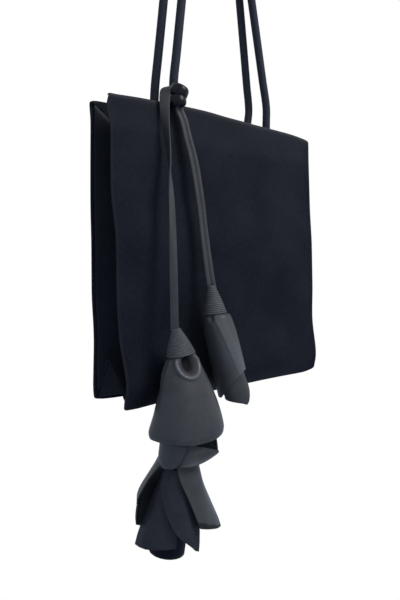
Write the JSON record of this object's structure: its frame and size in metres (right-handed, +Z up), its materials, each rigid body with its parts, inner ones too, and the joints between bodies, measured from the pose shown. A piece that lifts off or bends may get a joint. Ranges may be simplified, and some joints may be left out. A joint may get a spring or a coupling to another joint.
{
  "type": "satin handbag",
  "caption": "Flat satin handbag with folded sides, two cord handle loops and a tied leather flower charm, held up by its handles.",
  "frame": {"origin": "the point where a hook or hand bears, under the tops of both handle loops", "axes": "+Z up, +X to the right seen from the front, the front panel faces -Y"},
  "size_m": [0.253, 0.1131, 0.6803],
  "materials": {
    "satin": "navy-black heavy satin, low sheen",
    "lining": "plain charcoal lining cloth",
    "cord": "matt twisted cord",
    "knot_leather": "smooth leather, polished where it is drawn tight",
    "strap_leather": "thin smooth leather, semi-matt",
    "thread": "waxed thread",
    "petal_leather": "soft nappa leather, semi-matt"
  },
  "bodies": {
    "shell": {"front_panel": "satin", "back_panel": "satin", "left_gusset": "satin", "right_gusset": "satin", "base_panel": "satin", "front_facing": "satin", "back_facing": "satin", "front_left_cord_tab": "satin", "front_right_cord_tab": "satin", "back_left_cord_tab": "satin", "back_right_cord_tab": "satin", "front_lining": "lining", "back_lining": "lining", "front_left_cord_root": "cord", "front_right_cord_root": "cord", "back_left_cord_root": "cord", "back_right_cord_root": "cord", "charm_loop": "knot_leather", "charm_knot": "knot_leather", "long_strap_bend": "strap_leather"},
    "front_handle": {"front_handle_cord": "cord"},
    "back_handle": {"back_handle_cord": "cord"},
    "long_strap": {"long_strap": "strap_leather"},
    "long_flower": {"long_binding_core": "petal_leather", "long_binding_thread": "thread", "bell_petal": "petal_leather", "bell_under_petal": "petal_leather", "long_stem": "petal_leather"},
    "long_flower_lower": {"core_roll": "petal_leather", "collar_petal_left": "petal_leather", "collar_petal_right": "petal_leather", "lower_petal_front_left": "petal_leather", "lower_petal_front": "petal_leather", "lower_petal_right": "petal_leather", "lower_petal_back_right": "petal_leather", "lower_petal_back_left": "petal_leather", "lower_petal_left": "petal_leather"},
    "short_strap": {"short_strap": "strap_leather"},
    "short_flower": {"short_binding_core": "petal_leather", "short_binding_thread": "thread", "short_outer_petal": "petal_leather", "short_inner_petal": "petal_leather", "short_stem": "petal_leather"}
  },
  "joints": [
    {"name": "front_handle_fold", "type": "hinge", "parent": "shell", "child": "front_handle", "pos_m": [0, -0.013, -0.274], "axis": [1, 0, 0], "range_deg": [0, 90]},
    {"name": "back_handle_fold", "type": "hinge", "parent": "shell", "child": "back_handle", "pos_m": [0, 0.013, -0.274], "axis": [-1, 0, 0], "range_deg": [0, 150]},
    {"name": "long_strap_lift", "type": "hinge", "parent": "shell", "child": "long_strap", "pos_m": [-0.07361, -0.02244, -0.29297], "axis": [-0.7431, 0.6691, 0], "range_deg": [0, 75]},
    {"name": "long_flower_sway", "type": "hinge", "parent": "long_strap", "child": "long_flower", "pos_m": [-0.08641, -0.04584, -0.48467], "axis": [-0.1483, 0.9889, 0], "range_deg": [-3, 25]},
    {"name": "lower_flower_sway", "type": "hinge", "parent": "long_flower", "child": "long_flower_lower", "pos_m": [-0.08896, -0.05301, -0.59495], "axis": [0, 1, 0], "range_deg": [-8, 8]},
    {"name": "short_strap_lift", "type": "hinge", "parent": "shell", "child": "short_strap", "pos_m": [-0.06019, -0.023, -0.30281], "axis": [-1, 0, 0], "range_deg": [0, 75]},
    {"name": "short_flower_sway", "type": "hinge", "parent": "short_strap", "child": "short_flower", "pos_m": [-0.03839, -0.0358, -0.45061], "axis": [0, 1, 0], "range_deg": [-25, 3]}
  ]
}
